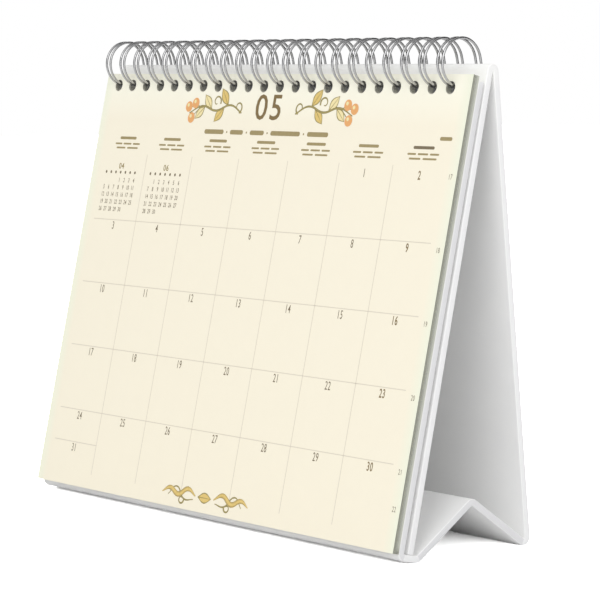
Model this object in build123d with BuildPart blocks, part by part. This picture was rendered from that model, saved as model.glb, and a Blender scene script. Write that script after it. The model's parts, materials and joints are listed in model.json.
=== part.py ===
from build123d import *
from math import asin, atan2, cos, degrees, radians, sin, sqrt
import os

# Easel desk calendar: a folded board easel carries a pad of month sheets,
# hung from its top fold by a twin-loop wire comb.
# X runs along the sheets' width, Y towards the back and Z up, in millimetres.
# The origin is under the middle of the whole object, on the table.

# Sheets
sheet_width = 195.0
sheet_height = 150.0
leaf_thickness = 0.2
pad_thickness = 2.15
pad_play = 0.05
leaf_play = 0.15
sheet_foot_rise = 1.95

# Easel board and its folds
board = 2.3
crease = 0.4
crown_crease = 0.06
ridge_crease = 0.9
front_lean = 13.0
front_tent_slope = 34.6
rear_tent_slope = 35.0
foot_span = 46.1
foot_allowance = 2.15
foot_flat_cut = 0.1
flap_drop = 1.5
crown_rise = 2.68
inner_leaf_foot_gap = 1.5
inner_leaf_top_gap = 0.69
inner_leaf_end_gap = 0.4

# Wire comb, three loops to the inch
loop_pitch = 25.4 / 3
wire_diameter = 0.95
wire_side_count = 6
ring_radius = 7.8
ring_run_count = 9
strand_spacing = 2.2
hole_diameter = 4.2
hole_side_count = 8
hole_drop = 4.3
hole_row_shift = -1.0
hole_row_margin = 8.0
hole_slack = 0.8
crown_clearance = 0.3
rear_arc_start = 12.0
rear_run = 7.2
gap_bend_inset = 1.0
exit_clearance = 0.4
tip_rise = 1.9
back_hole_offset = 0.5

# Directions in the side view, in degrees from +Y towards +Z
up_front = 90 - front_lean
inwards = -front_lean
outwards = 180 - front_lean
down_front = up_front + 180


def going(start, angle, distance):
    """Side-view point at a distance from another, in a direction in degrees."""
    return (
        start[0] + distance * cos(radians(angle)),
        start[1] + distance * sin(radians(angle)),
    )


def meeting(point_a, angle_a, point_b, angle_b):
    """Side-view point where two lines cross."""
    ay, az = cos(radians(angle_a)), sin(radians(angle_a))
    by, bz = cos(radians(angle_b)), sin(radians(angle_b))
    gap_y, gap_z = point_b[0] - point_a[0], point_b[1] - point_a[1]
    along = (gap_y * bz - gap_z * by) / (ay * bz - az * by)
    return going(point_a, angle_a, along)


def fold_corner(centre, radius, arriving, leaving):
    """Corner whose fillet has this centre, for a path that turns to its left."""
    before = going(centre, arriving - 90, radius)
    after = going(centre, leaving - 90, radius)
    return meeting(before, arriving, after, leaving)


def offset_from(start, end, angle):
    """Distance from one side-view point to another, measured along a direction."""
    towards = radians(angle)
    return (end[0] - start[0]) * cos(towards) + (end[1] - start[1]) * sin(towards)


def heading(start, end):
    """Direction in degrees from one side-view point to another."""
    return degrees(atan2(end[1] - start[1], end[0] - start[0]))


# Front foot of the folded path, which is the middle of the board
fold_radius = board / 2 + crease
crown_radius = board / 2 + crown_crease
ridge_radius = board / 2 + ridge_crease
foot_height = fold_radius + board / 2 - foot_flat_cut
foot_run = board * 1.5 + inner_leaf_foot_gap + foot_allowance
front_foot_centre = (0.0, foot_height)
front_foot = fold_corner(front_foot_centre, fold_radius, inwards, front_tent_slope)
front_corner = going(front_foot, outwards, foot_run)
face_foot = going(going(front_corner, outwards, board / 2), down_front, board / 2)


def on_front(height, out):
    """Side-view point at a height along the front face and a distance out from it."""
    return going(going(face_foot, up_front, height), outwards, out)


# Front flap and the inner leaf behind it, which closes up towards the top
sheet_top = sheet_foot_rise + sheet_height
flap_top = on_front(sheet_top - flap_drop, -board / 2)
inner_end = on_front(board + inner_leaf_end_gap, -board * 1.5 - inner_leaf_foot_gap)
inner_top = on_front(sheet_top, -board * 1.5 - inner_leaf_top_gap)
up_inner = heading(inner_end, inner_top)

# Crown fold over the inner leaf, and the back panel that runs from it to the rear foot
crown_centre = going(going(inner_top, up_inner, crown_rise), up_inner - 90, crown_radius)
rear_foot_centre = (foot_span, foot_height)
fold_distance = offset_from(rear_foot_centre, crown_centre, heading(rear_foot_centre, crown_centre))
up_back = heading(rear_foot_centre, crown_centre)
up_back += degrees(asin((fold_radius - crown_radius) / fold_distance))
through_back = up_back - 90
crown = fold_corner(crown_centre, crown_radius, up_back, up_inner + 180)
rear_foot = fold_corner(rear_foot_centre, fold_radius, -rear_tent_slope, up_back)
ridge = meeting(front_foot, front_tent_slope, rear_foot, -rear_tent_slope)

# Sheets' place on the front, and the row of holes through them
leaf_back = pad_play + pad_thickness + leaf_play
stack_depth = leaf_back + leaf_thickness
hole_height = sheet_top - hole_drop
hole_centre = on_front(hole_height, leaf_back + leaf_thickness / 2)
loop_count = int((sheet_width - 2 * hole_row_margin) / loop_pitch) + 1

# Ring centre: the rear run clears the crown fold, and the front leaf's holes hang on the ring
rear_run_reach = crown_radius + board / 2 + crown_clearance + wire_diameter / 2
ring_aside = offset_from(hole_centre, crown_centre, rear_arc_start) + rear_run_reach - ring_radius
ring_above = sqrt((ring_radius + hole_slack) ** 2 - ring_aside**2)
ring_centre = going(going(hole_centre, rear_arc_start, ring_aside), rear_arc_start + 90, ring_above)

# Wire path of one strand, from its root behind the easel round to its tip
rear_start = going(ring_centre, rear_arc_start, ring_radius)
root = going(rear_start, rear_arc_start - 90, rear_run)
front_arc_end = 270 - front_lean
hole_entry = going(ring_centre, front_arc_end, ring_radius)
back_face = going(rear_foot, through_back, board / 2)
wire_standoff = going(back_face, through_back, wire_diameter / 2 + exit_clearance)
inner_face = going(inner_end, inwards, board / 2)
leaving_front = meeting(hole_entry, inwards, inner_face, up_inner)
gap_bend = going(leaving_front, inwards, gap_bend_inset)
exit_bend = meeting(gap_bend, through_back, wire_standoff, up_back)
tip = going(exit_bend, up_back, tip_rise)
back_hole = going(meeting(gap_bend, through_back, back_face, up_back), up_back, -back_hole_offset)

# The whole object's reach to the front and the back, for the origin under its middle
front_reach = on_front(sheet_foot_rise, stack_depth)[0]
back_reach = rear_foot_centre[0] + fold_radius + board / 2
middle = (front_reach + back_reach) / 2


def in_space(point, x=0.0):
    """Place in space of a side-view point at a distance along X."""
    return Vector(x, point[0] - middle, point[1])


def side_plane(x=0.0):
    """Side-view plane at a distance along X."""
    return Plane(origin=(x, -middle, 0), x_dir=(0, 1, 0), z_dir=(1, 0, 0))


def facing(point, angle, x=0.0):
    """Plane through a side-view point that faces along a side-view direction."""
    towards = (0, cos(radians(angle)), sin(radians(angle)))
    return Plane(origin=in_space(point, x), x_dir=(1, 0, 0), z_dir=towards)


def hole_row(point, angle):
    """Sketch of the row of holes, on the plane through a point and facing a way."""
    with BuildSketch(facing(point, angle, hole_row_shift)) as row:
        with GridLocations(loop_pitch, 0, loop_count, 1):
            RegularPolygon(hole_diameter / 2, hole_side_count, major_radius=False)
    return row.sketch


front_holes = hole_row(hole_centre, outwards)
back_holes = hole_row(back_hole, through_back)
hole_depth = stack_depth + 2 * board + inner_leaf_foot_gap


def sheets(back, thickness):
    """Block of punched sheets with its back at a distance out from the front face."""
    with BuildPart() as block:
        with BuildSketch(facing(on_front(sheet_foot_rise + sheet_height / 2, back), outwards)):
            Rectangle(sheet_width, sheet_height)
        extrude(amount=thickness)
        extrude(front_holes, amount=hole_depth, both=True, mode=Mode.SUBTRACT)
    return block.part


# Easel: one strip of board, folded at the feet, the ridge and the crown
with BuildPart() as easel:
    with BuildSketch(side_plane()):
        with BuildLine() as fold_path:
            FilletPolyline(
                flap_top,
                front_corner,
                front_foot,
                ridge,
                rear_foot,
                crown,
                inner_end,
                radius=[fold_radius, fold_radius, ridge_radius, fold_radius, crown_radius],
            )
        trace(line_width=board)
    extrude(amount=sheet_width / 2, both=True)
    split(bisect_by=Plane.XY, keep=Keep.TOP)
    extrude(front_holes, amount=-hole_depth, mode=Mode.SUBTRACT)
    extrude(back_holes, amount=board, both=True, mode=Mode.SUBTRACT)
easel.part.label = "easel"

# Pad: the sheets behind the front one, as one block
pad = sheets(pad_play, pad_thickness)
pad.label = "sheet_pad"

# Front leaf: the month sheet on view, which turns over on the wire
front_leaf = sheets(leaf_back, leaf_thickness)
front_leaf.label = "front_leaf"

# One loop of the comb: two strands side by side, joined at the tip, with half a bar each side.
# Each ring is a chain of short straight runs of six-sided wire.
half_spacing = strand_spacing / 2
half_pitch = loop_pitch / 2
ring_step = (front_arc_end - rear_arc_start) / ring_run_count


def strand(x):
    """Corners of one strand, from its root to its tip."""
    angles = [rear_arc_start + ring_step * run for run in range(ring_run_count + 1)]
    ring = [going(ring_centre, angle, ring_radius) for angle in angles]
    return [in_space(corner, x) for corner in [root] + ring + [gap_bend, exit_bend, tip]]


loop_corners = [in_space(root, -half_pitch)]
loop_corners += strand(-half_spacing)
loop_corners += reversed(strand(half_spacing))
loop_corners += [in_space(root, half_pitch)]

with BuildPart() as loop:
    with BuildLine():
        Polyline(loop_corners)
    with BuildSketch(Plane(origin=loop_corners[0], z_dir=(1, 0, 0))):
        RegularPolygon(wire_diameter / 2, wire_side_count, major_radius=False)
    sweep(transition=Transition.RIGHT)

# Wire comb: the loops in a row, joined bar to bar into one wire
with BuildPart() as wire_comb:
    with Locations((hole_row_shift, 0, 0)):
        with GridLocations(loop_pitch, 0, loop_count, 1):
            add(loop.part)
wire_comb.part.label = "wire_comb"

os.makedirs("parts", exist_ok=True)
export_step(easel.part, "parts/easel.step")
export_step(pad, "parts/sheet_pad.step")
export_step(front_leaf, "parts/front_leaf.step")
export_step(wire_comb.part, "parts/wire_comb.step")
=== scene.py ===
import json
import math
import bpy
from mathutils import Matrix, Vector


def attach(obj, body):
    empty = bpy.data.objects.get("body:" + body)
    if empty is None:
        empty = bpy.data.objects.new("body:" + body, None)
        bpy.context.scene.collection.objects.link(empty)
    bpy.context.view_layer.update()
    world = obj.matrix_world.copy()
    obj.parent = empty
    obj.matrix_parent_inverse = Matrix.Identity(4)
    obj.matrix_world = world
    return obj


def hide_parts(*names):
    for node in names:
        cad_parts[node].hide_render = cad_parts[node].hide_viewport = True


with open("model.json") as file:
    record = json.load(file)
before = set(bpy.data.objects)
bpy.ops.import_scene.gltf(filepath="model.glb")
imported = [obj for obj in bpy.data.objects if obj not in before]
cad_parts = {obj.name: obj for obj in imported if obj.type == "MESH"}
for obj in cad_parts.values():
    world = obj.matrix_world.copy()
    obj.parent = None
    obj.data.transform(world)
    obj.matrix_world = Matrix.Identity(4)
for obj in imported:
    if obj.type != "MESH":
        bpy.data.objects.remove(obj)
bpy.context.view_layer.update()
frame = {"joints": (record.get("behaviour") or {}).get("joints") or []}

# Easel desk calendar: month sheets hung on a folded board easel by a twin-loop wire comb.
# Sizes are in millimetres, and MM turns them into Blender's metres. Angles are in degrees.
# A side-view point is (towards the back, up), and its angles run from the back towards up.
MM = 0.001
ACROSS = Vector((1, 0, 0))

# Metres within which two points are one
NEAR = 1e-6

# Month sheets
PAGE_WIDTH = 195.0
PAGE_HEIGHT = 150.0
PAGE_LEAN = 13
PAGE_RISE = 1.95
LEAF_BACK = 2.35
LEAF_THICKNESS = 0.2
PAD_BACK = 0.05
PAD_THICKNESS = 2.15
PAD_SHEET = 0.152

# Row of punched holes, three to the inch
HOLE_COUNT = 22
HOLE_PITCH = 25.4 / 3
HOLE_ROW_MIDDLE = -1.0
HOLE_DROP = 4.3
HOLE_RADIUS = 2.1
HOLE_SIDES = 32
HOLE_UP = PAGE_HEIGHT - HOLE_DROP
ROW = [HOLE_ROW_MIDDLE + (i - (HOLE_COUNT - 1) / 2) * HOLE_PITCH for i in range(HOLE_COUNT)]

# Easel board, folded at the front foot, the tent's ridge, the rear foot and the crown. A fold's
# radius is that of the board's middle. The inner leaf reaches almost to the front fold.
BOARD = 2.3
FOOT_FOLD = 1.55
RIDGE_FOLD = 2.05
CROWN_FOLD = 1.21
FRONT_FOOT_CENTRE = (-19.387, 2.6)
FOOT_SPAN = 46.1
FOOT_RUN = 7.1
FRONT_TENT_SLOPE = 34.6
REAR_TENT_SLOPE = 35.0
FLAP_DROP = 1.5
INNER_FOOT_GAP = 1.5
INNER_TOP_GAP = 0.69
INNER_END_GAP = 0.4
INNER_REACH = 0.327
CROWN_RISE = 2.68

# Wire comb: its rings' middle is the leaf's hinge. A strand runs from its root bar up to the ring,
# round it, in through sheets, flap and back panel, and up behind the panel to its tip.
RING_CENTRE = tuple(place / MM for place in frame["joints"][0]["pos_m"][1:])
WIRE_RADIUS = 0.41
RING_RADIUS = 7.85
FRONT_BELLY = 0.6
RING_START = 12
RING_END = 257
RING_POINTS = 6
ROOT_ASIDE = 7.8
ROOT_DROP = 7.2
FRONT_RUN = 6.79
BACK_HOLE_UP = 145.68
EXIT_UP = 146.18
EXIT_STANDOFF = 0.875
TIP_RISE = 1.9
TOP_SPREAD = 1.15
HOLE_SPREAD = 0.82
CLOSED_AT_HOLE = 0.8


def going(start, angle, distance):
    """Side-view point at a distance from another, in a direction in degrees."""
    turn = math.radians(angle)
    return start[0] + distance * math.cos(turn), start[1] + distance * math.sin(turn)


def heading(start, end):
    """Direction in degrees from one side-view point to another."""
    return math.degrees(math.atan2(end[1] - start[1], end[0] - start[0]))


def meeting(first, first_angle, second, second_angle):
    """Side-view point where two lines cross."""
    one, other = math.radians(first_angle), math.radians(second_angle)
    gap_y, gap_z = second[0] - first[0], second[1] - first[1]
    along = (gap_y * math.sin(other) - gap_z * math.cos(other)) / math.sin(other - one)
    return going(first, first_angle, along)


def fold_corner(centre, radius, arriving, leaving):
    """Corner whose round has this centre, for a board that turns to its left."""
    before = going(centre, arriving - 90, radius)
    after = going(centre, leaving - 90, radius)
    return meeting(before, arriving, after, leaving)


def side_view(point, x=0.0):
    """Place in space of a side-view point."""
    return Vector((x, point[0], point[1])) * MM


# Directions in the side view: up the front, in from it and out from it
UP_FRONT = 90 - PAGE_LEAN
INWARDS = -PAGE_LEAN
OUTWARDS = 180 - PAGE_LEAN

# Corners of the board's middle at the front foot, and the foot of its front face
FRONT_FOOT = fold_corner(FRONT_FOOT_CENTRE, FOOT_FOLD, INWARDS, FRONT_TENT_SLOPE)
FRONT_CORNER = going(FRONT_FOOT, OUTWARDS, FOOT_RUN)
FACE_FOOT = going(going(FRONT_CORNER, OUTWARDS, BOARD / 2), UP_FRONT, -BOARD / 2)


def on_front(height, out):
    """Side-view point up the easel's front face and out from it."""
    return going(going(FACE_FOOT, UP_FRONT, height), OUTWARDS, out)


# Ends of the board: the flap behind the sheets, and the inner leaf behind the flap
SHEET_TOP = PAGE_RISE + PAGE_HEIGHT
FLAP_TOP = on_front(SHEET_TOP - FLAP_DROP, -BOARD / 2)
INNER_FOOT = on_front(BOARD + INNER_END_GAP, -BOARD * 1.5 - INNER_FOOT_GAP)
INNER_TOP = on_front(SHEET_TOP, -BOARD * 1.5 - INNER_TOP_GAP)
UP_INNER = heading(INNER_FOOT, INNER_TOP)
INNER_END = going(INNER_FOOT, UP_INNER, -INNER_REACH)

# Crown over the inner leaf, and the back panel from it to the rear foot
CROWN_CENTRE = going(going(INNER_TOP, UP_INNER, CROWN_RISE), UP_INNER - 90, CROWN_FOLD)
REAR_FOOT_CENTRE = (FRONT_FOOT_CENTRE[0] + FOOT_SPAN, FRONT_FOOT_CENTRE[1])
BACK_TAPER = math.asin((FOOT_FOLD - CROWN_FOLD) / math.dist(REAR_FOOT_CENTRE, CROWN_CENTRE))
UP_BACK = heading(REAR_FOOT_CENTRE, CROWN_CENTRE) + math.degrees(BACK_TAPER)
THROUGH_BACK = UP_BACK - 90
CROWN = fold_corner(CROWN_CENTRE, CROWN_FOLD, UP_BACK, UP_INNER + 180)
REAR_FOOT = fold_corner(REAR_FOOT_CENTRE, FOOT_FOLD, -REAR_TENT_SLOPE, UP_BACK)
RIDGE = meeting(FRONT_FOOT, FRONT_TENT_SLOPE, REAR_FOOT, -REAR_TENT_SLOPE)


def on_back(height, out):
    """Side-view point up the back panel's outer face from the rear foot, and out from it."""
    return going(going(REAR_FOOT, THROUGH_BACK, BOARD / 2 + out), UP_BACK, height)


# The sheets' own place: across the page, up the page from its foot, and out from the board
LEAN = math.radians(PAGE_LEAN)
UP = Vector((0, math.sin(LEAN), math.cos(LEAN)))
OUT = Vector((0, -math.cos(LEAN), math.sin(LEAN)))
SHEET_FOOT = side_view(on_front(PAGE_RISE, 0))
PAGE = Matrix.Translation(SHEET_FOOT) @ Matrix((ACROSS, UP, OUT)).transposed().to_4x4()


def only(*chosen):
    """Select these objects and nothing else, with the first one active."""
    bpy.ops.object.select_all(action="DESELECT")
    for each in chosen:
        each.select_set(True)
    bpy.context.view_layer.objects.active = chosen[0]


def joined(pieces, name):
    """Join pieces into one and name it."""
    only(*pieces)
    if len(pieces) > 1:
        bpy.ops.object.join()
    piece = bpy.context.object
    piece.name = name
    piece.data.name = name
    bpy.ops.object.transform_apply(location=True, rotation=True, scale=True)
    return piece


def repeated(first, places, name):
    """A piece and its copies, one at each place, joined and named."""
    copies = []
    for place in places:
        each = first
        if copies:
            each = first.copy()
            each.data = first.data.copy()
            bpy.context.collection.objects.link(each)
        each.location = place
        copies.append(each)
    return joined(copies, name)


def modified(piece, kind, **settings):
    """Give a piece a modifier with these settings and apply it."""
    only(piece)
    modifier = piece.modifiers.new(kind.lower(), kind)
    for key, value in settings.items():
        setattr(modifier, key, value)
    bpy.ops.object.modifier_apply(modifier=modifier.name)


def select_by(piece, kind, test):
    """In edit mode, select only the faces or edges that pass a test."""
    bpy.ops.object.mode_set(mode="EDIT")
    bpy.ops.mesh.select_mode(type=kind)
    bpy.ops.mesh.select_all(action="DESELECT")
    bpy.ops.object.mode_set(mode="OBJECT")
    chosen = piece.data.polygons if kind == "FACE" else piece.data.edges
    for each in chosen:
        each.select = test(each)
    bpy.ops.object.mode_set(mode="EDIT")


def hang_on_board(piece, body, slot, *materials):
    """Put a piece that was made flat in its leaning place, and give it its finish."""
    only(piece)
    piece.matrix_world = PAGE
    bpy.ops.object.transform_apply(location=True, rotation=True, scale=True)
    dress(piece, body, slot, *materials)


def dress(piece, body, slot, *materials):
    """Give a piece its materials and its body; its slot is not used."""
    piece.data.materials.clear()
    for material in materials:
        piece.data.materials.append(material)
    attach(piece, body)


# Materials

def colour(code):
    """Linear colour of an sRGB hex code."""
    parts = [int(code[i:i + 2], 16) / 255 for i in (1, 3, 5)]
    linear = [p / 12.92 if p <= 0.04045 else ((p + 0.055) / 1.055) ** 2.4 for p in parts]
    return (*linear, 1.0)


def new_material(name):
    """Material with an empty shader, its output ready."""
    material = bpy.data.materials.new(name)
    material.use_nodes = True
    material.node_tree.nodes.clear()
    return material


def add(tree, kind, inputs=None, **settings):
    """Add a node with its settings; each input takes a number, a colour or another node's output."""
    made = tree.nodes.new(kind)
    for key, value in settings.items():
        setattr(made, key, value)
    for key, value in (inputs or {}).items():
        if isinstance(value, bpy.types.NodeSocket):
            tree.links.new(value, made.inputs[key])
        else:
            made.inputs[key].default_value = value
    return made


# Where tones change slowly: painted light up the page and up the wrap, a green tint out to the page's sides,
# painted shade up the pad's foot, and how far forward of the board the painted shade on the cut edges
# lightens
PAGE_PAINTED_LIGHT = (134 * MM, 147 * MM)
WRAP_PAINTED_LIGHT = (145 * MM, 150 * MM)
SIDE_CAST = (92.5 * MM, 97.2 * MM)
FOOT_SHADE = (4.4 * MM, 6 * MM)
EDGE_SHADE_FADE = 1.9 * MM

# Real sizes of the patterns. The streaks lie 0.4 mm apart, coarser than real sheets, to show at all.
PAGE_MOTTLE = 6.0
PAGE_FELT = 0.5
WRAP_MOTTLE = 9.0
WRAP_FELT = 0.45
INK_MOTTLE = 0.8
WIRE_MOTTLE = 3.0
DRAW_LINES = 2.5
SHEET_STREAKS = (60, 2600, 60)


def mottled(tree, first, second, size_mm):
    """Colour that drifts between two tones in patches of a real size."""
    place = add(tree, "ShaderNodeTexCoord").outputs["Object"]
    patches = add(tree, "ShaderNodeTexNoise", {"Vector": place, "Scale": 1 / (size_mm * MM), "Detail": 3.0})
    return add(tree, "ShaderNodeMix", {0: patches.outputs["Fac"], 6: colour(first), 7: colour(second)},
               data_type="RGBA").outputs[2]


def fibres(tree, size_mm, depth_mm, strength):
    """Bump of paper fibre at a real size."""
    place = add(tree, "ShaderNodeTexCoord").outputs["Object"]
    felt = add(tree, "ShaderNodeTexNoise", {"Vector": place, "Scale": 1 / (size_mm * MM), "Detail": 5.0})
    return add(tree, "ShaderNodeBump", {"Height": felt.outputs["Fac"], "Distance": depth_mm * MM,
                                        "Strength": strength}).outputs["Normal"]


def cream_page():
    """Coated cream offset paper: matt and warm, with a faint green cast at its sides, and painted light up
    its top under the rings, where their shadow falls.
    """
    material = new_material("coated_cream_paper")
    tree = material.node_tree
    cream = mottled(tree, "#F9F2DE", "#F7F0DC", PAGE_MOTTLE)
    place = add(tree, "ShaderNodeTexCoord").outputs["Object"]
    apart = add(tree, "ShaderNodeSeparateXYZ", {"Vector": place}).outputs
    # Painted light: the cream grows paler up the top of the page, against the shadow of the rings.
    high = add(tree, "ShaderNodeMapRange", {
        "Value": apart["Z"], "From Min": PAGE_PAINTED_LIGHT[0], "From Max": PAGE_PAINTED_LIGHT[1]})
    paler = add(tree, "ShaderNodeMix", {0: high.outputs["Result"], 6: cream, 7: colour("#FDFBEA")},
                data_type="RGBA").outputs[2]
    side = add(tree, "ShaderNodeMath", {0: apart["X"]}, operation="ABSOLUTE").outputs[0]
    cast = add(tree, "ShaderNodeMapRange", {
        "Value": side, "From Min": SIDE_CAST[0], "From Max": SIDE_CAST[1]})
    tinted = add(tree, "ShaderNodeMix", {0: cast.outputs["Result"], 6: paler, 7: colour("#F2F4E0")},
                 data_type="RGBA").outputs[2]
    paper = add(tree, "ShaderNodeBsdfPrincipled", {
        "Base Color": tinted, "Roughness": 0.62, "IOR": 1.45,
        "Normal": fibres(tree, PAGE_FELT, depth_mm=0.02, strength=0.25)})
    add(tree, "ShaderNodeOutputMaterial", {"Surface": paper.outputs["BSDF"]})
    return material


def cut_edges():
    """Guillotined edge of the stacked sheets in fine streaks: painted shade, dark grey for the shade in the
    gaps between the sheets, lighter towards the board and darkest near the foot.
    """
    material = new_material("cut_paper_edges_painted_shade")
    tree = material.node_tree
    place = add(tree, "ShaderNodeTexCoord").outputs["Object"]
    along = add(tree, "ShaderNodeMapping", {"Vector": place, "Scale": SHEET_STREAKS})
    streaks = add(tree, "ShaderNodeTexNoise", {
        "Vector": along.outputs["Vector"], "Scale": 1.0, "Detail": 2.0})
    # Painted shade: the cream edges are drawn dark grey for the shade in the gaps between the sheets.
    grey = add(tree, "ShaderNodeMix", {
        0: streaks.outputs["Fac"], 6: colour("#6A6A69"), 7: colour("#7C7C7B")}, data_type="RGBA").outputs[2]
    depth = add(tree, "ShaderNodeVectorMath", {0: place, 1: OUT}, operation="DOT_PRODUCT").outputs["Value"]
    board_face = SHEET_FOOT.dot(OUT)
    # The painted shade lightens over the rear sheets, towards the board.
    rear = add(tree, "ShaderNodeMapRange", {
        "Value": depth, "From Min": board_face + EDGE_SHADE_FADE, "From Max": board_face}).outputs["Result"]
    height = add(tree, "ShaderNodeSeparateXYZ", {"Vector": place}).outputs["Z"]
    # The painted shade stays at its darkest up the pad's foot.
    off_foot = add(tree, "ShaderNodeMapRange", {
        "Value": height, "From Min": FOOT_SHADE[0], "From Max": FOOT_SHADE[1]}).outputs["Result"]
    pale = add(tree, "ShaderNodeMath", {0: rear, 1: off_foot}, operation="MULTIPLY").outputs[0]
    paled = add(tree, "ShaderNodeMix", {0: pale, 6: grey, 7: colour("#C2C3C0")}, data_type="RGBA").outputs[2]
    edge = add(tree, "ShaderNodeBsdfPrincipled", {"Base Color": paled, "Roughness": 0.8, "IOR": 1.45})
    add(tree, "ShaderNodeOutputMaterial", {"Surface": edge.outputs["BSDF"]})
    return material


def wrapped_board(name, light, shaded, crown):
    """White uncoated paper wrapped over greyboard: matt, with a fine felt, and painted light that whitens it
    up to the crown fold against the shade of the recess behind the sheets.
    """
    material = new_material(name)
    tree = material.node_tree
    place = add(tree, "ShaderNodeTexCoord").outputs["Object"]
    height = add(tree, "ShaderNodeSeparateXYZ", {"Vector": place}).outputs["Z"]
    # Painted light: the wrap turns to the crown's tone up its top, where the sheets and the rings shade it.
    rise = add(tree, "ShaderNodeMapRange", {
        "Value": height, "From Min": WRAP_PAINTED_LIGHT[0], "From Max": WRAP_PAINTED_LIGHT[1]})
    white = add(tree, "ShaderNodeMix", {
        0: rise.outputs["Result"], 6: mottled(tree, light, shaded, WRAP_MOTTLE), 7: colour(crown)},
        data_type="RGBA").outputs[2]
    wrap = add(tree, "ShaderNodeBsdfPrincipled", {
        "Base Color": white, "Roughness": 0.58, "IOR": 1.45,
        "Normal": fibres(tree, WRAP_FELT, depth_mm=0.03, strength=0.3)})
    add(tree, "ShaderNodeOutputMaterial", {"Surface": wrap.outputs["BSDF"]})
    return material


def binding_wire():
    """Nickel-plated steel wire, drawn: a soft grey satin, its gloss uneven along the draw lines."""
    material = new_material("nickel_plated_wire")
    tree = material.node_tree
    place = add(tree, "ShaderNodeTexCoord").outputs["Object"]
    marks = add(tree, "ShaderNodeTexNoise", {"Vector": place, "Scale": 1 / (DRAW_LINES * MM), "Detail": 2.0})
    gloss = add(tree, "ShaderNodeMapRange", {"Value": marks.outputs["Fac"], "To Min": 0.24, "To Max": 0.3})
    metal = add(tree, "ShaderNodeBsdfPrincipled", {
        "Base Color": mottled(tree, "#BDBDBE", "#B2B2B3", WIRE_MOTTLE), "Metallic": 1.0,
        "Roughness": gloss.outputs["Result"]})
    add(tree, "ShaderNodeOutputMaterial", {"Surface": metal.outputs["BSDF"]})
    return material


def printing_ink(name, full, thin):
    """Offset ink: a thin matt film, its tone a little uneven where it lies thinner."""
    material = new_material(name)
    tree = material.node_tree
    film = add(tree, "ShaderNodeBsdfPrincipled", {
        "Base Color": mottled(tree, full, thin, INK_MOTTLE), "Roughness": 0.55, "IOR": 1.48})
    add(tree, "ShaderNodeOutputMaterial", {"Surface": film.outputs["BSDF"]})
    return material


PAPER = cream_page()
EDGES = cut_edges()
# The wrap's first two tones vary at random, and its last tone is painted light at the crown. The end wraps
# are the same paper drawn darker: painted shade on the board's end faces, darkest on the flap's and the
# tent's ends.
WRAP = wrapped_board("white_wrapped_board", "#F4F4F3", "#F0F0F0", "#FCFCFA")
END_WRAP_PAINTED_SHADE = wrapped_board("board_end_painted_shade", "#EAEAEA", "#E5E5E6", "#EDEDEC")
FLAP_END_PAINTED_SHADE = wrapped_board("flap_and_tent_end_painted_shade", "#DCDCDD", "#D6D6D8", "#E6E6E6")
WIRE = binding_wire()
INKS = {
    "line": printing_ink("pale_rule_ink", "#DCD4C2", "#E4DCCB"),
    "brown": printing_ink("brown_number_ink", "#786B54", "#877A62"),
    "dark": printing_ink("dark_number_ink", "#7E6A45", "#8D7850"),
    "tan": printing_ink("tan_text_ink", "#9C8C60", "#AC9C72"),
    "olive": printing_ink("olive_stem_ink", "#A39457", "#B3A56C"),
    "gold": printing_ink("gold_leaf_ink", "#DFC06A", "#EACF86"),
    "pale": printing_ink("pale_gold_ink", "#F3E2A6", "#F6E8B6"),
    "orange": printing_ink("orange_berry_ink", "#E9A562", "#EFB57A"),
}


# Punched sheets

# Lengths of the punches, and how far behind the front face the middle of the flap's punch lies
SHEET_PUNCH = 2.0
FLAP_PUNCH = 7.6
FLAP_PUNCH_DEPTH = 2.6
BACK_PUNCH = 5.0


def hole_cutters(middle, direction, length):
    """Row of round punches through a point, along a direction."""
    turn = direction.to_track_quat("Z", "Y").to_euler()
    punches = []
    for x in ROW:
        bpy.ops.mesh.primitive_cylinder_add(
            vertices=HOLE_SIDES, radius=HOLE_RADIUS * MM, depth=length * MM,
            location=(x * MM, middle[1], middle[2]), rotation=turn)
        punches.append(bpy.context.object)
    return joined(punches, "punches")


def punch(piece, cutters):
    """Cut a piece with the row of punches, and take the punches away."""
    modified(piece, "BOOLEAN", operation="DIFFERENCE", object=cutters, solver="EXACT")
    bpy.data.objects.remove(cutters)


def flat_sheet(name, width, height, back, thickness):
    """One sheet, made lying flat: a plane at its size, raised to its thickness and punched."""
    bpy.ops.mesh.primitive_plane_add(size=1, location=(0, height * MM / 2, back * MM))
    sheet = bpy.context.object
    sheet.scale = (width * MM, height * MM, 1)
    joined([sheet], name)
    bpy.ops.object.mode_set(mode="EDIT")
    bpy.ops.mesh.select_all(action="SELECT")
    bpy.ops.mesh.extrude_region_move(TRANSFORM_OT_translate={"value": (0, 0, thickness * MM)})
    bpy.ops.mesh.select_all(action="SELECT")
    bpy.ops.mesh.normals_make_consistent(inside=False)
    bpy.ops.object.mode_set(mode="OBJECT")
    middle = Vector((0, HOLE_UP * MM, (back + thickness / 2) * MM))
    punch(sheet, hole_cutters(middle, Vector((0, 0, 1)), SHEET_PUNCH))
    return sheet


leaf = flat_sheet("front_month_leaf", PAGE_WIDTH, PAGE_HEIGHT, LEAF_BACK, LEAF_THICKNESS)

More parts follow.
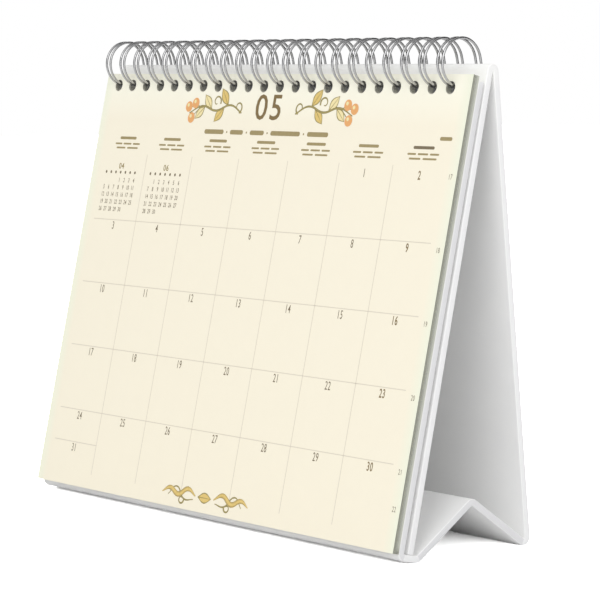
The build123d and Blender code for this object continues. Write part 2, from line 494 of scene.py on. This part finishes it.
# Thirteen sheets behind it, no two quite edge to edge: how far each has slipped across and up,
# and how much smaller they are drawn to leave room for that
SLIPS = [
    (0.04, 0.0), (-0.06, 0.05), (0.08, 0.02), (0.0, 0.08), (-0.09, 0.03), (0.05, 0.07), (-0.02, 0.01),
    (0.07, 0.05), (-0.05, 0.0), (0.02, 0.06), (-0.08, 0.02), (0.09, 0.04), (0.0, 0.03),
]
SLIP_ACROSS = 0.2
SLIP_UP = 0.1
PAD_PITCH = PAD_THICKNESS / len(SLIPS)
PAD_TOP = PAD_BACK + (len(SLIPS) - 1) * PAD_PITCH + PAD_SHEET
pad_sheet = flat_sheet("pad_sheet", PAGE_WIDTH - SLIP_ACROSS, PAGE_HEIGHT - SLIP_UP, PAD_BACK, PAD_SHEET)
slipped = [(across * MM, up * MM, number * PAD_PITCH * MM) for number, (across, up) in enumerate(SLIPS)]
pad = repeated(pad_sheet, slipped, "month_sheets_behind")

for sheets, body, slot, node in (
    (leaf, "leaf", "leaf_paper", "front_leaf"),
    (pad, "stand", "sheet_paper", "sheet_pad"),
):
    hang_on_board(sheets, body, slot, PAPER, EDGES)
    for face in sheets.data.polygons:
        face.material_index = 0 if abs(face.normal.dot(OUT)) > 0.5 else 1
    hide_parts(node)


# Print on a month sheet, in millimetres from the sheet's left foot

# Layers of ink over the sheet, so that no two marks lie in one plane
INK_LIFT = 0.012
LAYER_STEP = 0.006
RULES, SHAPES, FIGURES, STROKES, BERRIES, CROWNS = range(6)

# Grid of days
COLUMN = 26.45
FIRST_COLUMN = 19.2
ROW_HEIGHT = 23.13
FIRST_NUMBER = 117.4
GRID_TOP = 120.5
GRID_FOOT = 5.0
GRID_WIDTH = 182.0
FIRST_RULE = 96.4
RULE = 0.3
SHARED_ROW = 4.5
SHARED_RULE_START = 6.4
SHARED_RULE_WIDTH = 26.0
SHARED_RULE_UP = 2.1
WEEK_COLUMN = 192.2
DAYS_IN_WEEK = 7

# Heading: places up the sheet, starts and ends of the subtitle's bars, and its dots
TITLE_MIDDLE = 96.8
TITLE_UP = 138.0
SUBTITLE_UP = 129.6
SUBTITLE_BARS = ((63.4, 74.2), (77.8, 85.0), (88.8, 96.4), (100.0, 115.6), (119.4, 130.2))
SUBTITLE_DOTS = (76.0, 86.9, 98.2, 117.5)
SUBTITLE_BAR = 1.6
DOT = 0.7
YEAR = (187.4, 129.4)

# Day headings: each line's place up the sheet, and its bars' places aside and widths
DAY_NAME_UP = 126.4
DAY_LINES = (
    (124.3, ((-5.3, 4.0), (0.0, 4.8), (5.4, 4.2))),
    (122.8, ((-3.6, 5.4), (3.4, 6.4))),
)
DAY_LINE = 0.62

# Small calendars: their columns and rows, and how far the marks and the first row lie below the name
SMALL_COLUMN = 2.92
SMALL_ROW = 2.67
SMALL_NAME = 8.7
SMALL_MARK_DROP = 2.2
SMALL_ROW_DROP = 5.1

# Heights of the numerals, their height as a share of the type's size, and the space between them
TITLE_NUMERAL = 8.7
DAY_NUMERAL = 2.8
WEEK_NUMERAL = 1.7
SMALL_NAME_NUMERAL = 2.1
SMALL_DAY_NUMERAL = 1.55
NUMERAL_SHARE = 0.7
NUMERAL_SPACE = 1.15

# Shares of a shape's own size: a bar's rounded ends, a leaf's handles and the bulge of its outline
BAR_ROUND = 0.45
LEAF_HANDLE = 0.34
LEAF_BULGE = 0.75

# Curl: its steps, and how much it winds in and thins at each
CURL_STEPS = 8
CURL_WINDING = 0.085
CURL_WIDTH = 0.7
CURL_THINNING = 0.05

# Inks of the brush lines, which are closed shapes with an underside of their own
BRUSH_INKS = ("olive", "gold")


class MonthPrint:
    """Print of one month sheet: shapes drawn flat, sorted by ink, then joined."""

    def __init__(self, month, out):
        self.month = month
        self.out = out
        self.drawn = {ink: [] for ink in INKS}

    def at(self, x, y, layer=RULES):
        """Place of a point on the page."""
        lift = self.out + INK_LIFT + LAYER_STEP * layer
        return Vector(((x - PAGE_WIDTH / 2) * MM, y * MM, lift * MM))

    def number(self, text, x, y, height, ink="brown", narrow=0.66, weight=0.0):
        """Number with its middle at a place."""
        bpy.ops.object.text_add(location=self.at(x, y, FIGURES))
        figure = bpy.context.object
        figure.data.body = text
        figure.data.align_x = "CENTER"
        figure.data.align_y = "CENTER"
        figure.data.size = height * MM / NUMERAL_SHARE
        figure.data.resolution_u = 3
        figure.data.offset = weight * MM
        figure.data.space_character = NUMERAL_SPACE
        figure.scale.x = narrow
        self.drawn[ink].append(figure)

    def plain_bar(self, x, y, width, height, ink, layer):
        """Square-ended bar with its middle at a place."""
        bpy.ops.mesh.primitive_plane_add(size=1, location=self.at(x, y, layer))
        strip = bpy.context.object
        strip.scale = (width * MM, height * MM, 1)
        bpy.ops.object.transform_apply(location=False, rotation=False, scale=True)
        self.drawn[ink].append(strip)

    def rule(self, x, y, width, height):
        """Pale rule of the grid with its middle at a place."""
        self.plain_bar(x, y, width, height, "line", RULES)

    def bar(self, x, y, width, height, ink="tan"):
        """Round-ended bar with its middle at a place, where the sheet carries a word."""
        self.plain_bar(x, y, width, height, ink, SHAPES)
        bpy.ops.object.mode_set(mode="EDIT")
        bpy.ops.mesh.select_all(action="SELECT")
        bpy.ops.mesh.bevel(offset=height * MM * BAR_ROUND, segments=3, affect="VERTICES")
        bpy.ops.object.mode_set(mode="OBJECT")

    def line(self, points, ink="olive"):
        """Brush line that swells and thins through points given as x, y and width."""
        bpy.ops.curve.primitive_bezier_curve_add(location=(0, 0, self.at(0, 0, STROKES).z))
        stroke = bpy.context.object
        bends = stroke.data.splines[0].bezier_points
        bends.add(len(points) - 2)
        for bend, (x, y, width) in zip(bends, points):
            place = self.at(x, y)
            bend.co = (place.x, place.y, 0)
            bend.radius = width
            bend.handle_left_type = bend.handle_right_type = "AUTO"
        stroke.data.bevel_depth = 0.5 * MM
        stroke.data.bevel_resolution = 0
        stroke.data.resolution_u = 6
        stroke.data.use_fill_caps = True
        stroke.scale.z = 0.01
        self.drawn[ink].append(stroke)

    def leaf(self, x, y, length, belly, angle, ink="gold"):
        """Pointed leaf from a point, at an angle in degrees, outlined in olive."""
        along = Vector((math.cos(math.radians(angle)), math.sin(math.radians(angle)), 0))
        aside = Vector((-along.y, along.x, 0))
        bpy.ops.curve.primitive_bezier_curve_add(location=(0, 0, self.at(0, 0, SHAPES).z))
        blade = bpy.context.object
        blade.data.dimensions = "2D"
        blade.data.fill_mode = "BOTH"
        blade.data.resolution_u = 10
        blade.data.splines[0].use_cyclic_u = True
        foot = self.at(x, y)
        foot.z = 0
        ends = (foot, foot + along * length * MM)
        for bend, end, back in zip(blade.data.splines[0].bezier_points, ends, (1, -1)):
            bend.handle_left_type = bend.handle_right_type = "FREE"
            bend.co = end
            reach = end + along * back * length * MM * LEAF_HANDLE
            bend.handle_left = reach - aside * back * belly * MM
            bend.handle_right = reach + aside * back * belly * MM
        self.drawn[ink].append(blade)
        tip_x, tip_y = x + along.x * length, y + along.y * length
        for turn in (1, -1):
            mid_x = x + along.x * length / 2 + aside.x * turn * belly * LEAF_BULGE
            mid_y = y + along.y * length / 2 + aside.y * turn * belly * LEAF_BULGE
            self.line([(x, y, 0.25), (mid_x, mid_y, 0.4), (tip_x, tip_y, 0.15)])
        self.line([(x, y, 0.3), ((x + tip_x) / 2, (y + tip_y) / 2, 0.2), (tip_x, tip_y, 0.1)])

    def disc(self, x, y, radius, ink, layer, corners):
        """Round spot with its middle at a place."""
        bpy.ops.mesh.primitive_circle_add(
            vertices=corners, radius=radius * MM, fill_type="NGON", location=self.at(x, y, layer))
        self.drawn[ink].append(bpy.context.object)

    def berry(self, x, y, radius):
        """Round berry with a paler crown."""
        self.disc(x, y, radius, "orange", BERRIES, corners=24)
        self.disc(x - radius * 0.25, y + radius * 0.3, radius * 0.35, "pale", CROWNS, corners=16)

    def curl(self, x, y, radius, start, turn):
        """Curl that winds in about a point."""
        points = []
        for step in range(CURL_STEPS + 1):
            angle = math.radians(start + turn * step / CURL_STEPS)
            reach = radius * (1 - CURL_WINDING * step)
            width = CURL_WIDTH - CURL_THINNING * step
            points.append((x + reach * math.cos(angle), y + reach * math.sin(angle), width))
        self.line(points)

    def sprig(self, side):
        """Berry sprig beside the month's number, on one side of the title's middle."""
        def across(distance):
            return TITLE_MIDDLE + side * distance

        def turned(angle):
            return angle if side > 0 else 180 - angle

        self.line([(across(14.5), 136.3, 0.5), (across(21), 139.0, 0.7), (across(29), 137.0, 0.8),
                   (across(37), 138.6, 0.7), (across(44), 136.0, 0.35)])
        self.curl(across(16.6), 138.3, 2.2, turned(250), side * -330)
        self.curl(across(29.0), 140.2, 2.3, turned(200), side * -310)
        self.leaf(across(22.5), 138.9, 7.5, 2.3, turned(52))
        self.leaf(across(24.5), 138.3, 7.0, 2.2, turned(-48))
        self.leaf(across(31.5), 137.4, 7.0, 2.2, turned(48), "pale")
        self.leaf(across(35.5), 138.4, 6.5, 2.0, turned(-42), "pale")
        for along, up in ((41.0, 139.6), (44.6, 138.3), (42.4, 134.4)):
            self.line([(across(38), 138.2, 0.35), (across(along), up, 0.3)])
            self.berry(across(along), up, 1.9)

    def foot_border(self, middle):
        """Small border at the foot of the sheet: a lozenge between two pairs of waves."""
        self.leaf(middle - 3.6, 5.0, 7.2, 2.2, 0)
        for side in (-1, 1):
            self.line([(middle + side * 5.0, 5.0, 0.4), (middle + side * 9.5, 7.0, 1.7),
                       (middle + side * 14.5, 4.6, 1.9), (middle + side * 19.5, 6.4, 1.6),
                       (middle + side * 23.5, 4.6, 0.3)], "gold")
            self.line([(middle + side * 6.0, 3.8, 0.3), (middle + side * 11.0, 3.4, 0.6),
                       (middle + side * 16.0, 7.2, 0.5), (middle + side * 20.0, 4.0, 0.3)])
            self.curl(middle + side * 12.6, 3.2, 1.7, 90 + side * 90, side * 300)

    def small_month(self, x, top, month, first_day, days):
        """Small calendar of a neighbouring month."""
        self.number(month, x + SMALL_NAME, top, SMALL_NAME_NUMERAL, "tan", narrow=0.95, weight=0.06)
        for column in range(DAYS_IN_WEEK):
            self.bar(x + column * SMALL_COLUMN, top - SMALL_MARK_DROP, 0.95, 1.1, "brown")
        for day in range(1, days + 1):
            row, column = divmod(first_day + day - 1, DAYS_IN_WEEK)
            self.number(str(day), x + column * SMALL_COLUMN, top - SMALL_ROW_DROP - row * SMALL_ROW,
                        SMALL_DAY_NUMERAL, narrow=0.7, weight=0.03)

    def headings(self):
        """Month's number, the line under it and the seven day headings."""
        self.number(self.month, TITLE_MIDDLE, TITLE_UP, TITLE_NUMERAL, "dark", narrow=1.1, weight=0.1)
        for start, end in SUBTITLE_BARS:
            self.bar((start + end) / 2, SUBTITLE_UP, end - start, SUBTITLE_BAR)
        for x in SUBTITLE_DOTS:
            self.bar(x, SUBTITLE_UP, DOT, DOT)
        for column in range(DAYS_IN_WEEK):
            x = FIRST_COLUMN + column * COLUMN
            sunday = column == DAYS_IN_WEEK - 1
            self.bar(x, DAY_NAME_UP, 9.8, 1.0, "brown" if sunday else "tan")
            for up, bars in DAY_LINES:
                for aside, width in bars:
                    self.bar(x + aside, up, width, DAY_LINE)
        self.bar(*YEAR, 5.6, 1.2)

    def grid(self):
        """Pale rules between the columns and the rows of days."""
        for gap in range(DAYS_IN_WEEK - 1):
            x = FIRST_COLUMN + (gap + 0.5) * COLUMN
            self.rule(x, (GRID_TOP + GRID_FOOT) / 2, RULE, GRID_TOP - GRID_FOOT)
        for row in range(4):
            self.rule(PAGE_WIDTH / 2, FIRST_RULE - row * ROW_HEIGHT, GRID_WIDTH, RULE)

    def days(self, first_day, count, first_week):
        """Numbers of the days and of the weeks; a sixth week shares the last row."""
        for day in range(1, count + 1):
            row, column = divmod(first_day + day - 1, DAYS_IN_WEEK)
            x = FIRST_COLUMN + column * COLUMN
            y = FIRST_NUMBER - min(row, SHARED_ROW) * ROW_HEIGHT
            if row > SHARED_ROW:
                middle = (SHARED_RULE_START + FIRST_COLUMN + COLUMN / 2) / 2
                self.rule(middle, y + SHARED_RULE_UP, SHARED_RULE_WIDTH, RULE)
            sunday = column == DAYS_IN_WEEK - 1
            self.number(str(day), x, y, DAY_NUMERAL, "dark" if sunday else "brown",
                        weight=0.06 if sunday else 0.015)
        for row in range((first_day + count + 6) // DAYS_IN_WEEK):
            y = FIRST_NUMBER - min(row, SHARED_ROW) * ROW_HEIGHT
            self.number(str(first_week + row), WEEK_COLUMN, y, WEEK_NUMERAL)

    def onto(self, body, slot):
        """Join each ink's shapes and lay them on the sheet."""
        for ink, shapes in self.drawn.items():
            if not shapes:
                continue
            only(*shapes)
            bpy.ops.object.convert(target="MESH")
            piece = joined(shapes, f"month_{self.month}_{ink}_print")
            select_by(piece, "FACE", lambda face: face.normal.z < -0.5 and ink not in BRUSH_INKS)
            bpy.ops.mesh.flip_normals()
            bpy.ops.object.mode_set(mode="OBJECT")
            hang_on_board(piece, body, slot, INKS[ink])


BORDER_MIDDLE = 98.5

may = MonthPrint("05", LEAF_BACK + LEAF_THICKNESS)
may.headings()
may.sprig(side=1)
may.sprig(side=-1)
may.grid()
may.days(first_day=5, count=31, first_week=17)
may.small_month(9.3, 116.0, "04", first_day=3, days=30)
may.small_month(36.2, 116.0, "06", first_day=1, days=30)
may.foot_border(BORDER_MIDDLE)
may.onto("leaf", "leaf_paper")

june = MonthPrint("06", PAD_TOP)
june.headings()
june.sprig(side=1)
june.sprig(side=-1)
june.grid()
june.days(first_day=1, count=30, first_week=22)
june.small_month(141.5, 20.0, "05", first_day=5, days=31)
june.small_month(168.0, 20.0, "07", first_day=3, days=31)
june.foot_border(BORDER_MIDDLE)
june.onto("stand", "sheet_paper")


# Folded board easel

BOARD_PATH = [FLAP_TOP, FRONT_CORNER, FRONT_FOOT, RIDGE, REAR_FOOT, CROWN, INNER_END]
FOLD_RADII = [FOOT_FOLD, FOOT_FOLD, RIDGE_FOLD, FOOT_FOLD, CROWN_FOLD]

# Degrees of turn to each step of a fold, which give a right angle eight steps, and the fewest steps
FOLD_STEP = 11.99
LEAST_STEPS = 6

# Rounding of the wrapped edges, and the angles past which an edge is rounded or stays sharp
EDGE_ROUND = 0.3
EDGE_ANGLE = math.radians(50)
SMOOTH_BOARD = math.radians(35)
# Margin behind the flap within which its end faces take the darkest painted shade
FLAP_MARGIN = 0.1

# Box in the side view that holds the tent's ends, which take the darkest painted shade
TENT_TOP = 18
TENT_FRONT = -18.5
TENT_BACK = 26


def fold_bends(corners):
    """Start, end, centre and turn of each fold of the board's middle."""
    bends = []
    for before, corner, after, radius in zip(corners, corners[1:], corners[2:], FOLD_RADII):
        arriving, leaving = (corner - before).normalized(), (after - corner).normalized()
        turn = arriving.angle(leaving) * (1 if arriving.cross(leaving).x > 0 else -1)
        setback = radius * MM * math.tan(abs(turn) / 2)
        start = corner - arriving * setback
        centre = start + ACROSS.cross(arriving) * radius * MM * (1 if turn > 0 else -1)
        bends.append((start, corner + leaving * setback, centre, turn))
    return bends


def folded_strip():
    """Strip of board: the flap is a plane, and each fold is spun and each panel extruded from it."""
    corners = [side_view(point) for point in BOARD_PATH]
    bends = fold_bends(corners)
    first = bends[0][0]
    flap = first - corners[0]
    bpy.ops.mesh.primitive_plane_add(size=1)
    strip = bpy.context.object
    strip.scale = (PAGE_WIDTH * MM, flap.length, 1)
    bpy.ops.object.transform_apply(location=False, rotation=False, scale=True)
    lie = Matrix((ACROSS, -flap.normalized(), ACROSS.cross(-flap.normalized())))
    strip.matrix_world = Matrix.Translation((first + corners[0]) / 2) @ lie.transposed().to_4x4()
    bpy.ops.object.transform_apply(location=True, rotation=True, scale=True)
    vertices = strip.data.vertices
    select_by(strip, "EDGE", lambda edge: all(
        (vertices[corner].co - first).dot(flap) > -NEAR for corner in edge.vertices))
    for number, (start, end, centre, turn) in enumerate(bends):
        steps = max(LEAST_STEPS, round(abs(math.degrees(turn)) / FOLD_STEP))
        bpy.ops.mesh.spin(steps=steps, angle=-turn, center=centre, axis=ACROSS)
        following = bends[number + 1][0] if number + 1 < len(bends) else corners[-1]
        bpy.ops.mesh.extrude_region_move(TRANSFORM_OT_translate={"value": following - end})
    bpy.ops.mesh.select_all(action="SELECT")
    bpy.ops.mesh.remove_doubles(threshold=NEAR)
    bpy.ops.mesh.normals_make_consistent(inside=False)
    bpy.ops.object.mode_set(mode="OBJECT")
    strip.name = strip.data.name = "folded_board_easel"
    return strip


easel = folded_strip()
modified(easel, "SOLIDIFY", thickness=BOARD * MM, offset=0.0, use_even_offset=True)
only(easel)
bpy.ops.object.mode_set(mode="EDIT")
bpy.ops.mesh.select_all(action="SELECT")
bpy.ops.mesh.bisect(plane_co=(0, 0, 0), plane_no=(0, 0, 1), clear_inner=True, use_fill=True, threshold=1e-7)
bpy.ops.mesh.select_all(action="SELECT")
bpy.ops.mesh.normals_make_consistent(inside=False)
bpy.ops.object.mode_set(mode="OBJECT")
modified(easel, "BEVEL", width=EDGE_ROUND * MM, segments=3, limit_method="ANGLE", angle_limit=EDGE_ANGLE)
front_hole = SHEET_FOOT + (UP * HOLE_UP - OUT * FLAP_PUNCH_DEPTH) * MM
punch(easel, hole_cutters(front_hole, OUT, FLAP_PUNCH))
back_hole = side_view(on_back(BACK_HOLE_UP, 0))
punch(easel, hole_cutters(back_hole, Vector((0, *going((0, 0), THROUGH_BACK, 1))), BACK_PUNCH))
only(easel)
bpy.ops.object.shade_smooth_by_angle(angle=SMOOTH_BOARD)
dress(easel, "stand", "easel_board", WRAP, END_WRAP_PAINTED_SHADE, FLAP_END_PAINTED_SHADE)
# Painted shade: the board's end faces take the darker end wrap, and the flap's and the tent's ends the
# darkest.
flap_back = (SHEET_FOOT - OUT * (BOARD + FLAP_MARGIN) * MM).dot(OUT)
for face in easel.data.polygons:
    if abs(face.normal.x) > 0.9:
        place = face.center / MM
        in_tent = place.z < TENT_TOP and TENT_FRONT < place.y < TENT_BACK
        face.material_index = 2 if in_tent or face.center.dot(OUT) > flap_back else 1
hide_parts("easel")


# Twin-loop wire comb

# How far the wire's rounded bends reach, and the gap within which two loops' bars are one
ROOT_ROUND = 0.85
GAP_ROUND = 0.8
EXIT_ROUND = 0.85
BAR_JOIN = 0.01
SMOOTH_WIRE = math.radians(50)

# Places of the strand's corners in the side view
ROOT = going(going(RING_CENTRE, RING_START, ROOT_ASIDE), RING_START - 90, ROOT_DROP)
GAP_BEND = going(going(RING_CENTRE, RING_END, ROOT_ASIDE), INWARDS, FRONT_RUN)
EXIT_BEND = on_back(EXIT_UP, EXIT_STANDOFF)
TIP = on_back(EXIT_UP + TIP_RISE, EXIT_STANDOFF)


def bent(corner, before, after, reach):
    """Two curve points that round a corner of the wire, each with its two handles."""
    points = []
    for towards, first in ((before, True), (after, False)):
        point = corner + (towards - corner).normalized() * reach * MM
        inner = point + (corner - point) * 0.55
        outer = point + (towards - point) * 0.2
        points.append((outer, point, inner) if first else (inner, point, outer))
    return points


def one_ring():
    """Ring of one strand, as curve points with handles: it bulges forwards and closes up at the hole."""
    step = math.radians(RING_END - RING_START) / RING_POINTS
    handle = 4 / 3 * math.tan(step / 4) * MM
    ring = []
    for number in range(RING_POINTS + 1):
        angle = math.radians(RING_START) + step * number
        closed = CLOSED_AT_HOLE * max(0, number - RING_POINTS + 2) / 2
        x = TOP_SPREAD + (HOLE_SPREAD - TOP_SPREAD) * closed
        away = Vector((0, math.cos(angle), math.sin(angle)))
        onward = Vector((0, -math.sin(angle), math.cos(angle)))
        forwards = min(0, math.cos(angle))
        reach = RING_RADIUS + FRONT_BELLY * forwards ** 2
        swell = -2 * FRONT_BELLY * forwards * math.sin(angle)
        point = side_view(RING_CENTRE, x) + away * reach * MM
        onwards = (onward * reach + away * swell) * handle
        ring.append((point - onwards, point, point + onwards))
    return ring


def one_strand():
    """Half of one loop, as curve points with handles, from its root bar to its tip."""
    bar, root = side_view(ROOT, HOLE_PITCH / 2), side_view(ROOT, TOP_SPREAD)
    ring = one_ring()
    gap = side_view(GAP_BEND, HOLE_SPREAD)
    out = side_view(EXIT_BEND, HOLE_SPREAD)
    tip = side_view(TIP, HOLE_SPREAD)
    up = (tip - out).normalized()
    shoulder = tip - up * HOLE_SPREAD * MM
    points = [(bar, bar, bar + (root - bar) * 0.3)]
    points += bent(root, bar, ring[0][1], ROOT_ROUND)
    points += ring
    points += bent(gap, ring[-1][1], out, GAP_ROUND)
    points += bent(out, gap, shoulder, EXIT_ROUND)
    points.append((shoulder - up * 0.05 * MM, shoulder, shoulder + up * HOLE_SPREAD * MM * 4 / 3))
    return points


def one_loop():
    """One loop of round wire, as a mesh, its two strands joined at the tip."""
    strand = one_strand()
    flip = Matrix.Scale(-1, 3, ACROSS)
    path = strand + [tuple(flip @ point for point in reversed(bend)) for bend in reversed(strand)]
    bpy.ops.curve.primitive_bezier_curve_add(location=(0, 0, 0))
    wire = bpy.context.object
    bends = wire.data.splines[0].bezier_points
    bends.add(len(path) - 2)
    for bend, (left, point, right) in zip(bends, path):
        bend.handle_left_type = bend.handle_right_type = "FREE"
        bend.co = point
        bend.handle_left = left
        bend.handle_right = right
        bend.radius = 1.0
    wire.data.dimensions = "3D"
    wire.data.resolution_u = 7
    wire.data.bevel_depth = WIRE_RADIUS * MM
    wire.data.bevel_resolution = 4
    only(wire)
    bpy.ops.object.convert(target="MESH")
    return bpy.context.object


comb = repeated(one_loop(), [(x * MM, 0, 0) for x in ROW], "twin_loop_wire_comb")
bpy.ops.object.mode_set(mode="EDIT")
bpy.ops.mesh.select_all(action="SELECT")
bpy.ops.mesh.remove_doubles(threshold=BAR_JOIN * MM)
bpy.ops.mesh.fill_holes(sides=0)
bpy.ops.mesh.select_all(action="SELECT")
bpy.ops.mesh.normals_make_consistent(inside=False)
bpy.ops.object.mode_set(mode="OBJECT")
bpy.ops.object.shade_smooth_by_angle(angle=SMOOTH_WIRE)
dress(comb, "stand", "wire", WIRE)
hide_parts("wire_comb")


# Studio

FLOOR_DROP = 0.02
FLAG_GREY = 0.05


def shade_by_ray(tree, to_camera, to_gloss, to_light):
    """Grey of the floor or the world: one to the camera, one to reflections and one to the light."""
    path = add(tree, "ShaderNodeLightPath").outputs
    mirrored = add(tree, "ShaderNodeMath", {0: path["Is Glossy Ray"], 1: path["Is Transmission Ray"]},
                   operation="MAXIMUM").outputs[0]
    unseen = add(tree, "ShaderNodeMix", {0: mirrored, 6: (*[to_light] * 3, 1), 7: (*[to_gloss] * 3, 1)},
                 data_type="RGBA").outputs[2]
    return add(tree, "ShaderNodeMix", {0: path["Is Camera Ray"], 6: unseen, 7: (*[to_camera] * 3, 1)},
               data_type="RGBA").outputs[2]


bpy.ops.mesh.primitive_plane_add(size=8, location=(0, 0, -FLOOR_DROP * MM))
floor = bpy.context.object
floor.name = floor.data.name = "studio_floor"
floor_paper = new_material("white_floor_sweep")
floor_shade = shade_by_ray(floor_paper.node_tree, to_camera=3.3, to_gloss=1.0, to_light=0.95)
floor_shader = add(floor_paper.node_tree, "ShaderNodeBsdfDiffuse", {"Color": floor_shade})
add(floor_paper.node_tree, "ShaderNodeOutputMaterial", {"Surface": floor_shader.outputs["BSDF"]})
floor.data.materials.append(floor_paper)

world = bpy.data.worlds.new("white_studio")
bpy.context.scene.world = world
world.use_nodes = True
world.node_tree.nodes.clear()
sky = shade_by_ray(world.node_tree, to_camera=1.0, to_gloss=1.0, to_light=0.80)
backdrop = add(world.node_tree, "ShaderNodeBackground", {"Color": sky, "Strength": 1.0})
add(world.node_tree, "ShaderNodeOutputWorld", {"Surface": backdrop.outputs["Background"]})


def soft_light(name, place, aim, size, power):
    """Square softbox at a place, facing a point."""
    turn = (Vector(aim) - Vector(place)).to_track_quat("-Z", "Y").to_euler()
    bpy.ops.object.light_add(type="AREA", location=place, rotation=turn)
    lamp = bpy.context.object
    lamp.name = name
    lamp.data.size = size
    lamp.data.energy = power


soft_light("key_softbox", place=(0.7, -1.3, 1.3), aim=(0, 0, 0.08), size=1.0, power=7.5)
soft_light("side_softbox", place=(1.6, -0.25, 0.4), aim=(0.09, 0, 0.08), size=0.9, power=4.2)

flag_cloth = new_material("black_flag_cloth")
flag_shader = add(flag_cloth.node_tree, "ShaderNodeBsdfDiffuse", {"Color": (*[FLAG_GREY] * 3, 1)})
add(flag_cloth.node_tree, "ShaderNodeOutputMaterial", {"Surface": flag_shader.outputs["BSDF"]})


def dark_flag(name, place, size):
    """Black studio flag that only reflections see: it gives the wire its dark edges."""
    turn = (-Vector(place)).to_track_quat("Z", "Y").to_euler()
    bpy.ops.mesh.primitive_plane_add(size=size, location=place, rotation=turn)
    flag = bpy.context.object
    flag.name = flag.data.name = name
    flag.data.materials.append(flag_cloth)
    flag.visible_camera = flag.visible_diffuse = flag.visible_shadow = flag.visible_transmission = False


dark_flag("left_flag", place=(-0.86, -0.84, 0.3), size=2.1)
dark_flag("right_flag", place=(0.55, 1.05, 0.4), size=2.0)
dark_flag("top_flag", place=(-0.1, 0.1, 1.3), size=0.72)
dark_flag("rear_flag", place=(-0.95, 0.8, 0.4), size=2.2)

# Camera, solved from the sheet's corners, the feet and the loops
CAMERA_PLACE = (0.69003, -0.55229, 0.15402)
YAW, PITCH, ROLL = math.radians(50.607), math.radians(5.187), math.radians(-0.250)
forward = Vector((-math.sin(YAW) * math.cos(PITCH), math.cos(YAW) * math.cos(PITCH), -math.sin(PITCH)))
right = Vector((math.cos(YAW), math.sin(YAW), 0))
above = right.cross(forward)
rolled_right = right * math.cos(ROLL) + above * math.sin(ROLL)
rolled_up = above * math.cos(ROLL) - right * math.sin(ROLL)
bpy.ops.object.camera_add()
camera = bpy.context.object
camera.name = "photo_camera"
camera.matrix_world = (Matrix.Translation(CAMERA_PLACE)
                       @ Matrix((rolled_right, rolled_up, -forward)).transposed().to_4x4())
camera.data.sensor_width = 36
camera.data.lens = 156.77
camera.data.clip_start = 0.01
camera.data.clip_end = 50
bpy.context.scene.camera = camera
bpy.context.scene.view_settings.view_transform = "Standard"
